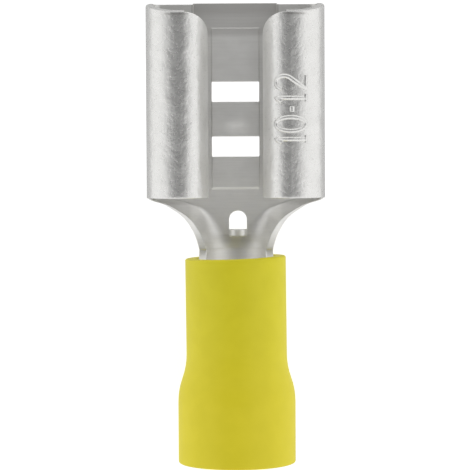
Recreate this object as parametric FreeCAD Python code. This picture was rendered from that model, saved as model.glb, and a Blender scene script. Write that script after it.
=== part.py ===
import FreeCAD, Part
import math
import os
from FreeCAD import Vector

# Female spade terminal, in millimetres.
# +Y runs along the terminal to its mouth, +X across it, +Z out of the open side.
# The origin is on the wire barrel's axis, at the barrel's wire end.

os.makedirs("parts", exist_ok=True)

# Sheet that the terminal is stamped from
sheet = 0.45

# Tab that the receptacle takes
tab_width = 9.5
tab_thickness = 1.2
tab_side_clearance = 0.30
tab_pinch = 0.10

# Receptacle
receptacle_length = 11.95
receptacle_height = 3.7
corner_radius = 0.95
ear_outer_radius = 2.15
ear_inner_radius = 1.6
ear_tip_lean = 5.0
ear_front_setback = 0.62
ear_slant_start = 1.0
ear_lip_inset = 1.35
ear_lip_depth = 0.95

# Lead-in pressed into the floor at the mouth
ramp_length = 1.53
ramp_drop = 0.20
ramp_width = 5.2
ramp_bulge = 0.07

# Panel, windows and locking bump in the floor
panel_width = 2.95
panel_rise = 0.03
panel_rear_margin = 0.48
panel_rear_slope = 0.16
window_length = 1.25
window_front_margin = 4.78
bar_length = 2.15
window_corner = 0.05
bump_width = 2.6
bump_length = 1.9
bump_height = 0.08

# Neck
neck_length = 3.17
neck_flat = 2.1
neck_least_flat = 0.04
neck_least_flange = 0.10
neck_rear_height = 1.95
neck_front_height = 0.20

# How fast the neck's flat and bend change from the barrel to the receptacle, as powers
flat_power = 1.2
flat_spread_power = 8
bend_power = 1.2

# Outline of the neck's edges, as shares of its length, of its widening and of its edges' drop
neck_outline = [
    (0.0, -0.005, 0.0),
    (0.1, 0.020, 0.063),
    (0.2, 0.050, 0.103),
    (0.32, 0.098, 0.149),
    (0.44, 0.165, 0.200),
    (0.56, 0.246, 0.257),
    (0.68, 0.373, 0.337),
    (0.78, 0.523, 0.457),
    (0.86, 0.662, 0.610),
    (0.92, 0.858, 0.757),
    (0.96, 0.962, 0.870),
    (1.0, 1.0, 1.0),
]

# Tongue lanced out of the neck to stop the wire
tongue_width = 1.10
tongue_length = 1.13
tongue_thinning = 0.05
tongue_bend_radius = 0.12
tongue_side_offset = 0.12
tongue_gap_to_barrel = 0.80
tongue_tail = 0.30

# Wire barrel
barrel_bore = 3.7
barrel_length = 6.0
wing_fillet = 1.0
seam_gap = 0.06

# Insulating sleeve
sleeve_length = 12.61
sleeve_wall = 0.76
sleeve_clearance = 0.03
sleeve_lead = 0.5
bell_widening = 0.52
bell_wall = 0.76
bell_length = 3.76
flare_length = 2.95
flare_inner_lag = 0.45
rim_round = 0.12
bore_chamfer = 0.15

# Places worked out from the sizes above
bore_radius = barrel_bore / 2
barrel_radius = bore_radius + sheet
floor_back = -barrel_radius
floor_top = floor_back + sheet
half_width = tab_width / 2 + tab_side_clearance + sheet
corner_start = half_width - corner_radius
corner_bore = corner_radius - sheet
ear_top = floor_back + receptacle_height
ear_crest = half_width - ear_outer_radius
tip_height = floor_top + tab_thickness - tab_pinch
neck_start = barrel_length + wing_fillet
ear_rear = neck_start + neck_length
mouth = ear_rear + receptacle_length
window_front = mouth - window_front_margin
bar_front = window_front - window_length
bar_rear = bar_front - bar_length
bar_centre = (bar_front + bar_rear) / 2
tongue_sheet = sheet - tongue_thinning
tongue_root = neck_start + tongue_gap_to_barrel
slant_low = floor_top + ear_slant_start
ear_slant = ear_front_setback / (ear_top - slant_low)
sleeve_front = barrel_length + sleeve_lead
sleeve_rear = sleeve_front - sleeve_length
bell_front = sleeve_rear + bell_length
flare_front = bell_front + flare_length
sleeve_bore = barrel_radius + sleeve_clearance
sleeve_radius = sleeve_bore + sleeve_wall
bell_bore = sleeve_bore + bell_widening
bell_radius = bell_bore + bell_wall

# How far a cutting shape reaches past what it cuts
beyond = 1.0

# Half of a right angle, for the middle of a quarter round
halfway = math.radians(45)


def polygon_face(points):
    """Flat face inside straight edges."""
    return Part.Face(Part.makePolygon(points + [points[0]]))


def prism_x(profile, half):
    """Solid of a profile given as (y, z) points, centred across the terminal."""
    points = [Vector(-half, y, z) for y, z in profile]
    return polygon_face(points).extrude(Vector(2 * half, 0, 0))


def box(x, y, z):
    """Box between the low and high ends of each axis."""
    size = [high - low for low, high in (x, y, z)]
    return Part.makeBox(*size, Vector(x[0], y[0], z[0]))


def mirrored(shape):
    """The same shape on the other side of the terminal."""
    return shape.mirror(Vector(0, 0, 0), Vector(1, 0, 0))


def bent_strip(start, heading, thickness, steps):
    """Section of a bent strip of sheet, in a plane of u and v.

    The strip's outer skin begins at start. Each step is ("run", length) or
    ("bend", outer radius, degrees), and a bend turns the strip to the left.
    """
    angle = math.radians(heading)
    point = Vector(*start, 0)
    outer = []
    inner = []
    for step in steps:
        ahead = Vector(math.cos(angle), math.sin(angle), 0)
        left = Vector(-ahead.y, ahead.x, 0)
        if step[0] == "run":
            end = point + ahead * step[1]
            outer.append(Part.LineSegment(point, end))
            inner.append(Part.LineSegment(end + left * thickness, point + left * thickness))
            point = end
            continue
        radius = step[1]
        turn = math.radians(step[2])
        centre = point + left * radius

        def on_bend(at, distance):
            direction = Vector(math.sin(angle + at), -math.cos(angle + at), 0)
            return centre + direction * distance

        within = radius - thickness
        outer.append(Part.Arc(point, on_bend(turn / 2, radius), on_bend(turn, radius)))
        inner.append(Part.Arc(on_bend(turn, within), on_bend(turn / 2, within), on_bend(0, within)))
        point = on_bend(turn, radius)
        angle += turn
    inner.reverse()
    far_end = Part.LineSegment(outer[-1].EndPoint, inner[0].StartPoint)
    near_end = Part.LineSegment(inner[-1].EndPoint, outer[0].StartPoint)
    edges = [curve.toShape() for curve in outer + [far_end] + inner + [near_end]]
    return Part.Face(Part.Wire(edges))


def stand_on_y(face, y):
    """Turn a section in u and v so that u is X and v is Z, at the place y."""
    turned = face.copy()
    turned.rotate(Vector(0, 0, 0), Vector(1, 0, 0), 90)
    turned.translate(Vector(0, y, 0))
    return turned


def tip_run():
    """How far the ear's leaning tip runs on past its bend."""
    lean = math.radians(ear_tip_lean)
    start = ear_top - ear_inner_radius + ear_inner_radius * math.sin(lean)
    return (start - tip_height) / math.cos(lean)


def ear_reach():
    """How far the ear's tip is from the terminal's middle."""
    lean = math.radians(ear_tip_lean)
    return ear_crest - ear_inner_radius * math.cos(lean) - tip_run() * math.sin(lean)


def ear_section():
    """Half of the receptacle's section, from the floor's middle to the ear's tip."""
    side_run = receptacle_height - corner_radius - ear_outer_radius
    steps = [
        ("run", corner_start),
        ("bend", corner_radius, 90),
        ("run", side_run),
        ("bend", ear_outer_radius, 90),
        ("bend", ear_inner_radius, 90 - ear_tip_lean),
        ("run", tip_run()),
    ]
    return bent_strip((0, floor_back), 0, sheet, steps)


def quarter_oval(centre, left, top):
    """Quarter of an ellipse about centre, between its left and its top point."""
    ends = sorted([left, top], key=centre.distanceToPoint)
    return Part.Ellipse(ends[1], ends[0], centre).toShape(0, 2 * halfway)


def mouth_slant():
    """What is cut away high over the floor so that the ears slant back from its edge."""
    high = ear_top + beyond
    setback = ear_slant * (high - slant_low)
    return prism_x([(mouth, slant_low), (mouth + beyond, slant_low), (mouth + beyond, high),
                    (mouth - setback, high)], half_width + beyond)


def ear_lip_corner():
    """What is rounded off the ear's front corner at its tip, slanting back like the ear's front."""
    lip = mouth - ear_front_setback
    tip = ear_reach()
    start = Vector(tip + ear_lip_inset, lip, 0)
    end = Vector(tip, lip - ear_lip_depth, 0)
    curve = quarter_oval(Vector(start.x, end.y, 0), end, start)
    ahead = Vector(start.x, mouth + beyond, 0)
    inside = Vector(0, mouth + beyond, 0)
    back = Vector(0, end.y, 0)
    wire = Part.Wire([curve, Part.makeLine(start, ahead), Part.makeLine(ahead, inside),
                      Part.makeLine(inside, back), Part.makeLine(back, end)])
    low = (floor_top + tip_height) / 2
    rise = ear_top + beyond - low
    corner = Part.Face(wire).extrude(Vector(0, -ear_slant * rise, rise))
    corner.translate(Vector(0, ear_slant * (ear_top - low), low))
    return corner


def receptacle_half():
    """Floor and ear on one side of the middle."""
    half = stand_on_y(ear_section(), ear_rear).extrude(Vector(0, receptacle_length, 0))
    return half.cut(ear_lip_corner())


def floor_ramp():
    """Wedge pressed out of the floor's top at the mouth."""
    tip = mouth + ramp_bulge
    return prism_x([(tip - ramp_length, floor_top), (tip + beyond, floor_top - ramp_drop *
                    (ramp_length + beyond) / ramp_length), (tip + beyond, floor_top)], ramp_width / 2)


def floor_panel():
    """Panel pressed a little proud of the floor, with sloping ends."""
    rear = ear_rear + panel_rear_margin
    front = mouth - ramp_length + ramp_bulge
    return prism_x([(rear, floor_top), (front, floor_top), (front - panel_rise, floor_top + panel_rise),
                    (rear + panel_rear_slope, floor_top + panel_rise)], panel_width / 2)


def window(front):
    """Opening through the floor, with small corner radii."""
    half = panel_width / 2
    hole = box((-half, half), (front - window_length, front), (floor_back - beyond, floor_top + beyond))
    upright = [edge for edge in hole.Edges if abs(edge.tangentAt(edge.FirstParameter).z) > 0.9]
    return hole.makeFillet(window_corner, upright)


def s_curve(near, far):
    """Two equal arcs, tangent to the axis at both ends, from near to far as (radius, y)."""
    across = far[0] - near[0]
    along = near[1] - far[1]
    radius = (along ** 2 + across ** 2) / (4 * across)
    half_turn = math.asin(along / (2 * radius)) / 2
    shift = radius * math.sin(half_turn)
    drop = radius * (1 - math.cos(half_turn))
    start = Vector(near[0], near[1], 0)
    stop = Vector(far[0], far[1], 0)
    centre = (start + stop) / 2
    leaving = start + Vector(drop, -shift, 0)
    arriving = stop + Vector(-drop, shift, 0)
    return [Part.Arc(start, leaving, centre).toShape(), Part.Arc(centre, arriving, stop).toShape()]


def swelling(width, length, height):
    """Low oval swelling that runs out smoothly all round, on a plane."""
    reach = width / 2
    foot = Vector(0, 0, 0)
    top = Vector(height, 0, 0)
    rim = Vector(0, reach, 0)
    edges = s_curve((0, reach), (height, 0)) + [Part.makeLine(top, foot), Part.makeLine(foot, rim)]
    profile = Part.Face(Part.Wire(Part.__sortEdges__(edges)))
    round_swelling = profile.revolve(foot, Vector(1, 0, 0), 360)
    round_swelling.rotate(foot, Vector(0, 1, 0), -90)
    matrix = FreeCAD.Matrix()
    matrix.scale(Vector(1, length / width, 1))
    return round_swelling.transformGeometry(matrix)


def add_locking_bump(body):
    """Oval bump pressed up from the back of the bar between the windows."""
    bump = swelling(bump_width, bump_length, bump_height)
    hollow = bump.copy()
    bump.translate(Vector(0, bar_centre, floor_top + panel_rise))
    hollow.translate(Vector(0, bar_centre, floor_back))
    return body.fuse(bump).cut(hollow)


def receptacle():
    """Floor with its windows, and the two rolled ears."""
    half = receptacle_half()
    body = half.fuse(mirrored(half))
    bulge = box((-ramp_width / 2, ramp_width / 2), (mouth, mouth + ramp_bulge), (floor_back, floor_top))
    body = body.cut(mouth_slant()).fuse(bulge).cut(floor_ramp()).fuse(floor_panel())
    for front in (window_front, bar_rear):
        body = body.cut(window(front))
    return add_locking_bump(body)


def neck_section(reach, widening, drop):
    """Section of the neck at one place of its outline, from the barrel at 0 to the receptacle at 1."""
    flat = neck_least_flat + neck_flat * reach ** flat_power
    flat += (corner_start - neck_flat - neck_least_flat) * reach ** flat_spread_power
    radius = bore_radius - neck_least_flat
    radius += (corner_bore - radius) * reach ** bend_power
    skin = radius + sheet
    edge_place = barrel_radius + (half_width - barrel_radius) * widening
    edge_height = neck_rear_height + (neck_front_height - neck_rear_height) * drop
    across = edge_place - flat
    above = edge_height - skin
    away = math.hypot(across, above)
    flange = math.sqrt(max(away ** 2 - skin ** 2, neck_least_flange ** 2))
    turn = math.atan2(above, across) + math.atan2(skin, flange)
    wall = math.degrees(turn)
    start_x = -flat - skin * math.sin(turn) - flange * math.cos(turn)
    start_z = floor_back + skin * (1 - math.cos(turn)) + flange * math.sin(turn)
    steps = [
        ("run", flange),
        ("bend", skin, wall),
        ("run", 2 * flat),
        ("bend", skin, wall),
        ("run", flange),
    ]
    section = bent_strip((start_x, start_z), -wall, sheet, steps)
    return stand_on_y(section, neck_start + neck_length * reach)


def neck():
    """Trough that narrows from the receptacle's floor to the barrel."""
    wires = [neck_section(*place).OuterWire for place in neck_outline]
    return Part.makeLoft(wires, True, False)


def tongue_hole():
    """Opening that the tongue leaves in the neck."""
    half = tongue_width / 2
    tip = tongue_root + tongue_sheet + tongue_length
    slot = box((-half, half), (tongue_root, tip - half), (floor_back - beyond, 0))
    end = Part.makeCylinder(half, beyond - floor_back, Vector(0, tip - half, floor_back - beyond))
    hole = slot.fuse(end)
    hole.translate(Vector(tongue_side_offset, 0, 0))
    return hole


def tongue():
    """Tongue bent up out of the neck, with its round end on top."""
    outer_radius = tongue_bend_radius + tongue_sheet
    rise = tongue_length - tongue_bend_radius
    steps = [("run", tongue_tail), ("bend", outer_radius, 90), ("run", rise)]
    start = tongue_root - tongue_bend_radius - tongue_tail
    section = bent_strip((start, floor_top - tongue_sheet), 0, tongue_sheet, steps)
    section.rotate(Vector(0, 0, 0), Vector(1, 0, 0), 90)
    section.rotate(Vector(0, 0, 0), Vector(0, 0, 1), 90)
    half = tongue_width / 2
    section.translate(Vector(-half, 0, 0))
    blade = section.extrude(Vector(tongue_width, 0, 0))
    top = floor_top - tongue_sheet + outer_radius + rise
    low = floor_back - beyond
    upright = box((-half, half), (start - beyond, tongue_root + beyond), (low, top - half))
    length = 2 * beyond + outer_radius + tongue_tail
    crown = Part.makeCylinder(half, length, Vector(0, start - beyond, top - half), Vector(0, 1, 0))
    blade = blade.common(upright.fuse(crown))
    blade.translate(Vector(tongue_side_offset, 0, 0))
    return blade


def wing_opening():
    """What is missing from the barrel in front of the wings, above the neck's edges."""
    base = floor_back + neck_rear_height
    low = Vector(0, neck_start, base)
    high = Vector(0, barrel_length, base + wing_fillet)
    middle = Vector(0, neck_start - wing_fillet * math.sin(halfway),
                    base + wing_fillet * (1 - math.cos(halfway)))
    top_rear = Vector(0, barrel_length, barrel_radius + beyond)
    top_front = Vector(0, neck_start + beyond, barrel_radius + beyond)
    low_front = Vector(0, neck_start + beyond, base)
    curve = Part.Arc(low, middle, high).toShape()
    corners = [high, top_rear, top_front, low_front, low]
    sides = [Part.makeLine(here, there) for here, there in zip(corners, corners[1:])]
    opening = Part.Face(Part.Wire([curve] + sides)).extrude(Vector(2 * barrel_radius + 2 * beyond, 0, 0))
    opening.translate(Vector(-barrel_radius - beyond, 0, 0))
    return opening


def barrel():
    """Wire barrel rolled from two wings that butt together over the wire."""
    axis = Vector(0, 1, 0)
    start = Vector(0, 0, 0)
    tube = Part.makeCylinder(barrel_radius, neck_start, start, axis)
    tube = tube.cut(Part.makeCylinder(bore_radius, neck_start, start, axis))
    seam = box((-seam_gap / 2, seam_gap / 2), (0, neck_start), (0, barrel_radius + beyond))
    return tube.cut(seam).cut(wing_opening())


def terminal_body():
    """Receptacle, neck, tongue and barrel in one piece of sheet."""
    trough = neck().cut(tongue_hole())
    body = receptacle().fuse([trough, barrel()])
    return body.fuse(tongue()).removeSplitter()


def joined_lines(corners):
    """Straight edges through corners given as (radius, y)."""
    points = [Vector(radius, y, 0) for radius, y in corners]
    return [Part.makeLine(here, there) for here, there in zip(points, points[1:])]


def insulating_sleeve():
    """Moulded sleeve with a plain front and a wider bell for the wire's covering."""
    inner_front = flare_front - flare_inner_lag
    inner_rear = bell_front - flare_inner_lag
    front_rim = (sleeve_bore + bore_chamfer, sleeve_front)
    edges = joined_lines([front_rim, (sleeve_radius, sleeve_front), (sleeve_radius, flare_front)])
    edges += s_curve((sleeve_radius, flare_front), (bell_radius, bell_front))
    edges += joined_lines([(bell_radius, bell_front), (bell_radius, sleeve_rear), (bell_bore, sleeve_rear),
                           (bell_bore, inner_rear)])
    edges += s_curve((sleeve_bore, inner_front), (bell_bore, inner_rear))
    edges += joined_lines([(sleeve_bore, inner_front), (sleeve_bore, sleeve_front - bore_chamfer),
                           front_rim])
    profile = Part.Face(Part.Wire(Part.__sortEdges__(edges)))
    sleeve = profile.revolve(Vector(0, 0, 0), Vector(0, 1, 0), 360)
    return sleeve.makeFillet(rim_round, outer_rims(sleeve))


def outer_rims(sleeve):
    """The outside edges of the sleeve's two ends."""
    rims = []
    for edge in sleeve.Edges:
        if not isinstance(edge.Curve, Part.Circle):
            continue
        place = edge.Curve.Center.y
        at_front = abs(place - sleeve_front) < rim_round and edge.Curve.Radius > sleeve_radius - rim_round
        at_rear = abs(place - sleeve_rear) < rim_round and edge.Curve.Radius > bell_radius - rim_round
        if at_front or at_rear:
            rims.append(edge)
    return rims


for name, make in (("terminal_body", terminal_body), ("insulating_sleeve", insulating_sleeve)):
    shape = make()
    shape.exportStep("parts/" + name + ".step")
    print(name, len(shape.Solids), shape.isValid(), round(shape.Volume, 2))
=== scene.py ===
import math

import bmesh
import bpy
from mathutils import Matrix, Vector
from mathutils.bvhtree import BVHTree
from mathutils.geometry import barycentric_transform


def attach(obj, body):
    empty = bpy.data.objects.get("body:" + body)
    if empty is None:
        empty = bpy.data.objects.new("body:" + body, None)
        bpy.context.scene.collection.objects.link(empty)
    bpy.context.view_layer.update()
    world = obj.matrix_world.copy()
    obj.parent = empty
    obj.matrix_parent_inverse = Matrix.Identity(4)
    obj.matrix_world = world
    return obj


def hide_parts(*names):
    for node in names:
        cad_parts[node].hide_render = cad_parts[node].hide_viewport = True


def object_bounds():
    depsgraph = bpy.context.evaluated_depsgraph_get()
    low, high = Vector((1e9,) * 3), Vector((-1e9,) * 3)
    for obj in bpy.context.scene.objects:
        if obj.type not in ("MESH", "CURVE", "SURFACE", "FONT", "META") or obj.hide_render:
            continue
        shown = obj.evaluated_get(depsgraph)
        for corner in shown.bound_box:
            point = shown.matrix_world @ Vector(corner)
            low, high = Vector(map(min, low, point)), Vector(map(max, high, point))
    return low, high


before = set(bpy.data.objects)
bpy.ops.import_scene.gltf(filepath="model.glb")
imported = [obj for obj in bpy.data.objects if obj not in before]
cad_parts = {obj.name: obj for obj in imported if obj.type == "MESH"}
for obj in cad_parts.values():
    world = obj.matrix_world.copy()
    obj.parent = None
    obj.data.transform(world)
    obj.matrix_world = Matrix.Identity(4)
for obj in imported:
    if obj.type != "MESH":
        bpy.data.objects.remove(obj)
cad_low, cad_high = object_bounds()


# Terminal body
# One blank of brass sheet, stamped, tin plated and then formed: floor, rolled ears, neck and wire barrel.
# The ears' corners at the mouth are rounded off. The plating is grainy on the ears, smoother on the floor.

MM = 0.001


class Signal:
    """A value that changes over a surface. Arithmetic on it adds Math nodes."""

    def __init__(self, tree, socket=None):
        self.tree = tree
        self.socket = socket

    def node(self, kind, settings, inputs, output=0):
        """Add a node of that type, with its settings set before its sockets' values or links."""
        made = self.tree.nodes.new(kind)
        for name, value in settings.items():
            setattr(made, name, value)
        for place, value in inputs.items():
            if isinstance(value, Signal):
                self.tree.links.new(value.socket, made.inputs[place])
            else:
                made.inputs[place].default_value = value
        return Signal(self.tree, made.outputs[output] if made.outputs else None)

    def math(self, operation, *values):
        return self.node("ShaderNodeMath", {"operation": operation}, dict(enumerate(values)))

    def __add__(self, other):
        return self.math("ADD", self, other)

    def __radd__(self, other):
        return self.math("ADD", other, self)

    def __sub__(self, other):
        return self.math("SUBTRACT", self, other)

    def __rsub__(self, other):
        return self.math("SUBTRACT", other, self)

    def __mul__(self, other):
        return self.math("MULTIPLY", self, other)

    def __rmul__(self, other):
        return self.math("MULTIPLY", other, self)

    def __truediv__(self, other):
        return self.math("DIVIDE", self, other)

    def __abs__(self):
        return self.math("ABSOLUTE", self)

    def root(self):
        return self.math("SQRT", self)

    def step(self, start, end):
        """Rises smoothly from 0 at start to 1 at end."""
        return self.node("ShaderNodeMapRange", {"interpolation_type": "SMOOTHSTEP"},
                         {0: self, 1: start, 2: end, 3: 0.0, 4: 1.0})

    def fade(self, start, end):
        """Falls smoothly from 1 at start to 0 at end."""
        return 1.0 - self.step(start, end)

    def stretched(self, x, y, z):
        """The vector with its three parts multiplied."""
        return self.node("ShaderNodeVectorMath", {"operation": "MULTIPLY"}, {0: self, 1: (x, y, z)})

    def parts(self):
        """The three parts of a vector."""
        return [self.node("ShaderNodeSeparateXYZ", {}, {0: self}, axis) for axis in range(3)]

    def noise(self, scale, detail=2.0, rough=0.5):
        return self.node("ShaderNodeTexNoise", {},
                         {"Vector": self, "Scale": scale, "Detail": detail, "Roughness": rough})

    def tint(self, low, high):
        """A colour between low and high."""
        return self.node("ShaderNodeMix", {"data_type": "RGBA"}, {0: self, 6: low, 7: high}, 2)


def new_finish(name):
    """Empty material, with the place on the object in millimetres."""
    material = bpy.data.materials.new(name)
    material.use_nodes = True
    material.node_tree.nodes.clear()
    start = Signal(material.node_tree)
    return material, start.node("ShaderNodeTexCoord", {}, {}, "Object").stretched(1 / MM, 1 / MM, 1 / MM)


def close_finish(place, surface):
    place.node("ShaderNodeOutputMaterial", {}, {"Surface": surface})


plain_tin = (0.88, 0.875, 0.855, 1)
clean_tin = (0.92, 0.915, 0.895, 1)
# Painted light: the neck's tin is painted lighter, to brighten the neck where it lies in shade
neck_painted_light_tin = (0.985, 0.98, 0.96, 1)
tin_for_marks_and_shade = (0.60, 0.59, 0.57, 1)
patch_ends = (0.3, 0.7)

floor_metal, ear_metal, neck_metal = 0.78, 0.92, 0.70
floor_rough, ear_rough, neck_rough = 0.43, 0.24, 0.33
grain_rough, ear_tip_rough = 0.08, 0.3

# Where one part of the sheet goes over into the next: along the terminal, aside from its middle, or up
ear_rear, ear_foot, ear_tip_side = (10.0, 10.3), (-1.75, -1.2), (1.9, 2.35)
neck_front, flange_side = (9.6, 10.3), (2.6, 3.0)
ramp_rear, ramp_front, ramp_side = (20.0, 20.4), (21.2, 21.8), (2.66, 2.72)

# The barrel's front and its rims, and the shoulders below the ears, catch the light as if tilted a little
barrel_front, rim_front, rim_side = (6.94, 7.06), (7.05, 7.2), (1.86, 1.9)
shoulder_rear, shoulder_front, shoulder_side = (8.7, 9.6), (10.1, 10.2), (2.2, 3.2)
barrel_tilt, shoulder_tilt, neck_lift, rim_lift = 0.31, 0.12, 0.25, 0.7

# Dark marks: pits and die lines in the tin, and painted shade at the ears' lips, in the hollow behind the
# tongue, on the flanges and on the ramp
pit_ends, pit_dull = (0.58, 0.74), 0.75
lip_shade_rear, lip_shade_front, lip_painted_shade = (21.28, 21.36), (21.40, 21.46), 0.9
lip_shade_inner, lip_shade_outer = (2.7, 3.2), (4.0, 4.5)
hollow_rear, hollow_front, hollow_side, hollow_painted_shade = (7.1, 7.5), (7.8, 7.9), (0.7, 1.2), 0.4
flange_painted_shade, ramp_painted_shade, ramp_front_painted_shade = 0.22, 0.64, 0.34
line_ends, line_dull = (0.35, 0.75), 0.11

edge_round = 0.075
grain_depth = 0.021
wave_share, pit_share, floor_grain = 2.6, 0.2, 0.12


def tin_finish():
    material, place = new_finish("tinned_brass")
    x, y, z = place.parts()
    aside = abs(x)
    ear = z.step(*ear_foot) * y.step(*ear_rear)
    ear_tip = ear * aside.fade(*ear_tip_side)
    neck = y.fade(*neck_front)
    ramp = y.step(*ramp_rear) * aside.fade(*ramp_side)

    skin = place.stretched(1.0, 0.9, 1.0)
    wave = skin.noise(scale=1.0, detail=1.0)
    grain = skin.noise(scale=5.2, detail=3.0, rough=0.6)
    pits = skin.noise(scale=9.0, detail=3.0, rough=0.7).step(*pit_ends) * ear
    height = (wave_share * wave + grain - pit_share * pits) * (floor_grain + (1.0 - floor_grain) * ear)

    shoulder = aside.step(*shoulder_side) * y.step(*shoulder_rear) * y.fade(*shoulder_front)
    tilt = barrel_tilt * y.fade(*barrel_front) - shoulder_tilt * shoulder
    lift = neck_lift * neck + rim_lift * aside.step(*rim_side) * y.fade(*rim_front)
    lean = place.node("ShaderNodeCombineXYZ", {}, {"Y": tilt, "Z": lift})
    edge = place.node("ShaderNodeBevel", {"samples": 8}, {"Radius": edge_round * MM})
    edge = place.node("ShaderNodeVectorMath", {"operation": "ADD"}, {0: edge, 1: lean})
    edge = place.node("ShaderNodeVectorMath", {"operation": "NORMALIZE"}, {0: edge})
    normal = place.node("ShaderNodeBump", {}, {"Strength": 1.0, "Distance": grain_depth * MM,
                                               "Height": height, "Normal": edge})

    # Painted shade: a dark band just under the rounded edge of each ear's lip
    lip_shade = ear * y.step(*lip_shade_rear) * y.fade(*lip_shade_front)
    lip_shade = lip_shade * aside.step(*lip_shade_inner) * aside.fade(*lip_shade_outer)
    # Painted shade in the hollow behind the tongue
    hollow_shade = y.step(*hollow_rear) * y.fade(*hollow_front) * aside.fade(*hollow_side)
    lines = place.stretched(0.5, 9.0, 1.0).noise(scale=1.0, detail=3.0, rough=0.6).step(*line_ends)
    # Painted shade on the ramp at the mouth, darker toward its front
    ramp_shade = (ramp_painted_shade + ramp_front_painted_shade * y.step(*ramp_front)) * ramp
    # Painted shade on the neck's flanges below the ears
    flange_shade = neck * aside.step(*flange_side)
    # Pits and die lines are the tin's own marks; the lip band, hollow, flanges and ramp are painted shade
    marks_and_painted_shade = pit_dull * pits + lip_painted_shade * lip_shade + hollow_painted_shade * hollow_shade + flange_painted_shade * flange_shade
    marks_and_painted_shade = marks_and_painted_shade + (ramp_shade + line_dull * lines) * (1.0 - ear)
    # Base colour: random tone patches, a neck painted lighter as painted light, then darkened by the marks
    # and painted shade
    tin = place.noise(scale=1.1).step(*patch_ends).tint(plain_tin, clean_tin)
    surface = place.node("ShaderNodeBsdfPrincipled", {}, {
        "Base Color": marks_and_painted_shade.tint(neck.tint(tin, neck_painted_light_tin), tin_for_marks_and_shade),
        "Metallic": floor_metal + (ear_metal - floor_metal) * ear + (neck_metal - floor_metal) * neck,
        "Roughness": (floor_rough + (ear_rough - floor_rough) * ear + (neck_rough - floor_rough) * neck
                      + grain_rough * grain + ear_tip_rough * ear_tip),
        "Normal": normal,
    })
    close_finish(place, surface)
    return material


def arc(middle_x, middle_y, reach_x, reach_y, start, end, pieces=20):
    """Points on an oval between two angles in degrees."""
    angles = [math.radians(start + (end - start) * step / pieces) for step in range(pieces + 1)]
    return [(middle_x + reach_x * math.cos(angle), middle_y + reach_y * math.sin(angle)) for angle in angles]


def cutter(outline, low, high):
    """Upright prism through an outline of (x, y) points, from low to high."""
    shape = bmesh.new()
    base = shape.faces.new([shape.verts.new(Vector((x, y, low)) * MM) for x, y in outline])
    raised = bmesh.ops.extrude_face_region(shape, geom=[base])["geom"]
    top = [item for item in raised if isinstance(item, bmesh.types.BMVert)]
    bmesh.ops.translate(shape, verts=top, vec=(0, 0, (high - low) * MM))
    bmesh.ops.recalc_face_normals(shape, faces=shape.faces)
    mesh = bpy.data.meshes.new("cutter")
    shape.to_mesh(mesh)
    shape.free()
    return bpy.data.objects.new("cutter", mesh)


inward = 0.03
same_place = 0.001
same_way = 0.95


def shade_as(mesh, first):
    """Shades the faces that a cut left in place as they were before it, and new faces flat."""
    first.calc_loop_triangles()
    places = [vertex.co for vertex in first.vertices]
    triangles = [tuple(triangle.vertices) for triangle in first.loop_triangles]
    shades = [[first.corner_normals[loop].vector for loop in triangle.loops]
              for triangle in first.loop_triangles]
    tree = BVHTree.FromPolygons(places, triangles)
    normals = [None] * len(mesh.loops)
    for face in mesh.polygons:
        for loop in face.loop_indices:
            near = mesh.vertices[mesh.loops[loop].vertex_index].co.lerp(face.center, inward)
            spot, normal, index, gap = tree.find_nearest(near)
            normals[loop] = face.normal.copy()
            if gap < same_place * MM and normal.dot(face.normal) > same_way:
                corners = [places[vertex] for vertex in triangles[index]]
                normals[loop] = barycentric_transform(spot, *corners, *shades[index]).normalized()
    mesh.shade_smooth()
    mesh.normals_split_custom_set(normals)


def cut_away(piece, tools):
    """Takes the tools' shapes off the piece."""
    for tool in tools:
        bpy.context.scene.collection.objects.link(tool)
        cut = piece.modifiers.new("cut", "BOOLEAN")
        cut.operation = "DIFFERENCE"
        cut.solver = "EXACT"
        cut.object = tool
    whole = bpy.data.meshes.new_from_object(piece.evaluated_get(bpy.context.evaluated_depsgraph_get()))
    for tool in tools:
        bpy.data.objects.remove(tool)
    piece.modifiers.clear()
    piece.data = whole


mouth = 22.12
side_wall = 5.5
end_round = 0.3
lip = 21.5
lip_inner = 1.7
lip_reach = 1.4
lip_depth = 1.2
lip_middle = 0.3
lip_bottom = -1.78
cut_bottom = -2.4
cut_top = 1.6
cut_past_mouth = 1.0
same_corner = 1e-7

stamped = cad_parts["terminal_body"].data
formed = bpy.data.objects.new("formed_terminal", stamped.copy())
bpy.context.scene.collection.objects.link(formed)
sheet = bmesh.new()
sheet.from_mesh(formed.data)
bmesh.ops.remove_doubles(sheet, verts=sheet.verts, dist=same_corner)
sheet.to_mesh(formed.data)
sheet.free()
tools = []
for side in (-1, 1):
    end_corner = arc(side_wall - end_round, mouth - end_round, end_round, end_round, 0, 90)
    end_corner.append((side_wall + end_round, mouth + end_round))
    lip_corner = arc(lip_inner + lip_reach, lip - lip_depth, lip_reach, lip_depth, 180, 90)
    lip_corner += [(lip_inner + lip_reach, mouth + cut_past_mouth), (lip_middle, mouth + cut_past_mouth),
                   (lip_middle, lip - lip_depth)]
    tools.append(cutter([(side * x, y) for x, y in end_corner], cut_bottom, cut_top))
    tools.append(cutter([(side * x, y) for x, y in lip_corner], lip_bottom, cut_top))
cut_away(formed, tools)
shade_as(formed.data, stamped)
formed.data.materials.clear()
formed.data.materials.append(tin_finish())
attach(formed, "root")
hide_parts("terminal_body")


# Size numbers
# Plain figures stamped up out of the right ear, read along it. Each stroke is a low ridge with a round top.

ear_crest = Vector((3.35, 0.0, 1.4))
ear_outer_round = 2.15
ear_inner_round = 1.6
figure_feet = 4.24
figure_height = 1.76
stroke_radius = 0.16
stroke_sink = 0.06


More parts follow.
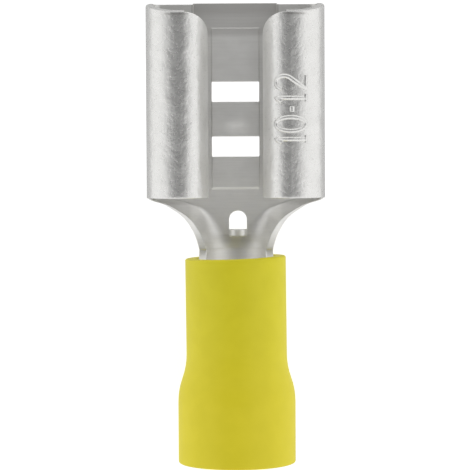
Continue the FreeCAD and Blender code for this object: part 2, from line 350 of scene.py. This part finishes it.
def on_ear(across, along):
    """Point on the right ear's skin, sunk by the part of a stroke that lies within the sheet."""
    reach = across - ear_crest.x
    bend = ear_outer_round if reach > 0 else ear_inner_round
    height = ear_crest.z - bend + math.sqrt(bend * bend - reach * reach) - stroke_sink
    return Vector((across, along, height)) * MM


def straight(start, end, pieces=8):
    """Points on a straight stroke, close enough to follow the ear's round."""
    return [(start[0] + (end[0] - start[0]) * step / pieces, start[1] + (end[1] - start[1]) * step / pieces)
            for step in range(pieces + 1)]


figures = {
    "one": [straight((0.05, 0.80), (0.27, 1.0)) + straight((0.27, 1.0), (0.27, 0.0))[1:],
            straight((0.02, 0.0), (0.52, 0.0))],
    "nought": [arc(0.46, 0.5, 0.42, 0.5, 0, 360, 40)],
    "dash": [straight((0.08, 0.46), (0.42, 0.46))],
    "two": [arc(0.45, 0.72, 0.40, 0.28, 165, -35) + straight((0.74, 0.52), (0.06, 0.0))
            + straight((0.06, 0.0), (0.90, 0.0))[1:]],
}
line_of_figures = [("one", 13.50), ("nought", 14.22), ("dash", 15.34), ("one", 16.00), ("two", 16.75)]

marks = bpy.data.curves.new("size_mark", "CURVE")
marks.dimensions = "3D"
marks.bevel_depth = stroke_radius * MM
marks.bevel_resolution = 3
marks.use_fill_caps = True
for figure, start in line_of_figures:
    for stroke in figures[figure]:
        ring = figure == "nought"
        stroke = stroke[:-1] if ring else stroke
        spline = marks.splines.new("POLY")
        spline.points.add(len(stroke) - 1)
        for point, (forward, up) in zip(spline.points, stroke):
            point.co = (*on_ear(figure_feet - figure_height * up, start + forward), 1.0)
        spline.use_cyclic_u = ring
outline = bpy.data.objects.new("size_outline", marks)
size_mark = bpy.data.objects.new("size_mark", bpy.data.meshes.new_from_object(outline))
bpy.data.objects.remove(outline)
bpy.context.scene.collection.objects.link(size_mark)
size_mark.data.materials.clear()
size_mark.data.materials.append(formed.data.materials[0])
size_mark.data.shade_smooth()
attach(size_mark, "root")


# Insulating sleeve
# One moulded vinyl sleeve, pushed over the wire barrel. Its rear is belled for the wire's own covering.
# The vinyl is dyed through and satin. Its front stands a little out of true, with a leaning rim.

deep_green_yellow, pale_green_yellow = (0.77, 0.69, 0.017, 1), (0.80, 0.72, 0.020, 1)
deep_warm_yellow, pale_warm_yellow = (0.84, 0.725, 0.020, 1), (0.87, 0.75, 0.024, 1)
greener_front = (-4.0, 6.0)
skin_depth = 0.01


def vinyl_finish():
    material, place = new_finish("yellow_vinyl")
    y = place.parts()[1]
    cloud = place.noise(scale=0.8).step(*patch_ends)
    green = cloud.tint(deep_green_yellow, pale_green_yellow)
    warm = cloud.tint(deep_warm_yellow, pale_warm_yellow)
    skin = place.noise(scale=9.0)
    normal = place.node("ShaderNodeBump", {}, {"Strength": 0.5, "Distance": skin_depth * MM, "Height": skin})
    surface = place.node("ShaderNodeBsdfPrincipled", {}, {
        "Base Color": y.step(*greener_front).tint(warm, green),
        "Roughness": 0.45,
        "Specular IOR Level": 0.4,
        "Normal": normal,
    })
    close_finish(place, surface)
    return material


sleeve_lean = 0.05
lean_start, lean_length = 1.0, 5.5
rim_slope = 0.031
rim_shift = 0.05
rim_start, rim_length = 3.5, 3.0


def growth(along, start, length):
    """Grows from 0 at start to 1 at start + length, ever faster."""
    return min(max((along - start) / length, 0.0), 1.0) ** 2


moulded = bpy.data.objects.new("moulded_sleeve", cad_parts["insulating_sleeve"].data.copy())
for vertex in moulded.data.vertices:
    across, along, _ = vertex.co / MM
    lean = growth(along, lean_start, lean_length)
    rim = growth(along, rim_start, rim_length)
    vertex.co += Vector((-sleeve_lean * lean, (rim_slope * across + rim_shift) * rim, 0.0)) * MM
moulded.data.materials.clear()
moulded.data.materials.append(vinyl_finish())
bpy.context.scene.collection.objects.link(moulded)
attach(moulded, "root")
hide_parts("insulating_sleeve")


# Floor
# Plain white paper that the terminal lies on, lit from behind so that it shows no shadow.
# It is far larger than the terminal.

lit_paper = (0.4, 0.4, 0.4, 1)
white = (1, 1, 1, 1)
backlight = 0.85


def paper_finish():
    material, place = new_finish("floor_paper")
    surface = place.node("ShaderNodeBsdfPrincipled", {}, {
        "Base Color": lit_paper,
        "Roughness": 0.9,
        "Specular IOR Level": 0.0,
        "Emission Color": white,
        "Emission Strength": backlight,
    })
    close_finish(place, surface)
    return material


floor_reach = 0.6
floor_height = cad_low.z
mesh = bpy.data.meshes.new("floor")
corners = [(-floor_reach, -floor_reach, floor_height), (floor_reach, -floor_reach, floor_height),
           (floor_reach, floor_reach, floor_height), (-floor_reach, floor_reach, floor_height)]
mesh.from_pydata(corners, [], [(0, 1, 2, 3)])
floor = bpy.data.objects.new("floor", mesh)
floor.data.materials.append(paper_finish())
bpy.context.scene.collection.objects.link(floor)
floor.visible_glossy = False


# Light
# A tent of white cloth round the terminal: bright at its walls, and dim overhead where the camera looks in.
# The table under it sends back half of the light.

dim_middle_x, dim_middle_y = -0.08, 0.16
dim_reach_x, dim_reach_y = 0.95, 0.70
dim_edge = (0.34, 1.0)
table_edge = (-0.62, -0.3)
overhead_glow, wall_glow, table_glow = 0.165, 0.75, 0.52


def light_tent():
    world = bpy.data.worlds.new("light_tent")
    world.use_nodes = True
    world.node_tree.nodes.clear()
    start = Signal(world.node_tree)
    x, y, z = start.node("ShaderNodeTexCoord", {}, {}, "Generated").parts()
    across = (x - dim_middle_x) / dim_reach_x
    along = (y - dim_middle_y) / dim_reach_y
    walls = (across * across + along * along).root().step(*dim_edge)
    above = z.step(*table_edge)
    glow = (overhead_glow + wall_glow * walls) * above + table_glow * (1.0 - above)
    seen = start.node("ShaderNodeLightPath", {}, {}, "Is Camera Ray")
    strength = glow + seen * (1.0 - glow)
    surface = start.node("ShaderNodeBackground", {}, {"Color": white, "Strength": strength})
    start.node("ShaderNodeOutputWorld", {}, {"Surface": surface})
    return world


bpy.context.scene.world = light_tent()
bpy.context.scene.view_settings.view_transform = "Standard"


# Camera
# It hangs over the terminal, a little to the mouth's side, and looks down on the front of the neck.
# It is turned by less than half a degree.

camera_place = Vector((-0.07, 14.12, 137.0)) * MM
camera_aim = Vector((-0.07, 7.9, 0.0)) * MM
camera_roll = math.radians(0.29)
picture_angle = math.radians(12.01)
sensor_width = 36.0
nearest_seen, farthest_seen = 0.01, 10.0

camera_data = bpy.data.cameras.new("camera")
camera_data.sensor_width = sensor_width
camera_data.lens = camera_data.sensor_width / 2 / math.tan(picture_angle / 2)
camera_data.clip_start = nearest_seen
camera_data.clip_end = farthest_seen
camera = bpy.data.objects.new("camera", camera_data)
bpy.context.scene.collection.objects.link(camera)
backward = (camera_place - camera_aim).normalized()
upward = Vector((math.sin(camera_roll), math.cos(camera_roll), 0.0))
rightward = upward.cross(backward).normalized()
upward = backward.cross(rightward)
turned = Matrix((rightward, upward, backward)).transposed().to_4x4()
camera.matrix_world = Matrix.Translation(camera_place) @ turned
bpy.context.scene.camera = camera
